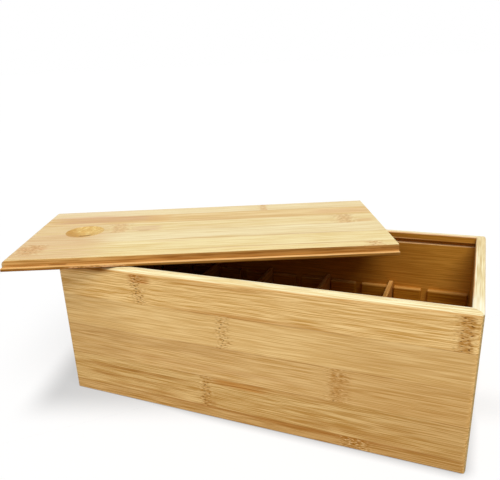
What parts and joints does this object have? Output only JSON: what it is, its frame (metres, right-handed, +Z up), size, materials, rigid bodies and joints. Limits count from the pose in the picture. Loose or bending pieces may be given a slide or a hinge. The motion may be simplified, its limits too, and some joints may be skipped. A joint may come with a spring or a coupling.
{
  "type": "card index box",
  "caption": "Bamboo box for small index cards, with a sliding lid taken out of its side grooves and laid across the walls, and loose dividers standing in slots.",
  "frame": {"origin": "centre of the case's underside, on the surface that it stands on", "axes": "+X along the case, away from the end where the lid slides out; +Y to the back; +Z up"},
  "size_m": [0.3243, 0.208, 0.1014],
  "materials": {
    "case_bamboo": "sanded bamboo, clear satin lacquer",
    "panel_bamboo": "sanded bamboo, clear satin lacquer",
    "block_bamboo": "sanded bamboo, clear satin lacquer",
    "divider_bamboo": "sanded bamboo, clear satin lacquer",
    "lid_bamboo": "sanded bamboo, clear satin lacquer"
  },
  "bodies": {
    "case": {"front_wall": "case_bamboo", "back_wall": "case_bamboo", "right_end_wall": "case_bamboo", "left_end_wall": "case_bamboo", "bottom_panel": "panel_bamboo", "front_block_1": "block_bamboo", "front_block_2": "block_bamboo", "front_block_3": "block_bamboo", "front_block_4": "block_bamboo", "front_block_5": "block_bamboo", "front_block_6": "block_bamboo", "front_block_7": "block_bamboo", "front_block_8": "block_bamboo", "front_block_9": "block_bamboo", "front_block_10": "block_bamboo", "back_block_1": "block_bamboo", "back_block_2": "block_bamboo", "back_block_3": "block_bamboo", "back_block_4": "block_bamboo", "back_block_5": "block_bamboo", "back_block_6": "block_bamboo", "back_block_7": "block_bamboo", "back_block_8": "block_bamboo", "back_block_9": "block_bamboo", "back_block_10": "block_bamboo"},
    "lid": {"lid": "lid_bamboo"},
    "divider_1": {"divider_1": "divider_bamboo"},
    "divider_2": {"divider_2": "divider_bamboo"},
    "divider_3": {"divider_3": "divider_bamboo"},
    "divider_4": {"divider_4": "divider_bamboo"}
  },
  "joints": [
    {"name": "lid_lift", "type": "slide", "parent": "case", "child": "lid", "axis": [0, 0, 1], "range_m": [0, 0.12]},
    {"name": "divider_1_lift", "type": "slide", "parent": "case", "child": "divider_1", "axis": [0, 0, 1], "range_m": [0, 0.0365]},
    {"name": "divider_2_lift", "type": "slide", "parent": "case", "child": "divider_2", "axis": [0, 0, 1], "range_m": [0, 0.0365]},
    {"name": "divider_3_lift", "type": "slide", "parent": "case", "child": "divider_3", "axis": [0, 0, 1], "range_m": [0, 0.0365]},
    {"name": "divider_4_lift", "type": "slide", "parent": "case", "child": "divider_4", "axis": [0, 0, 1], "range_m": [0, 0.0365]}
  ]
}
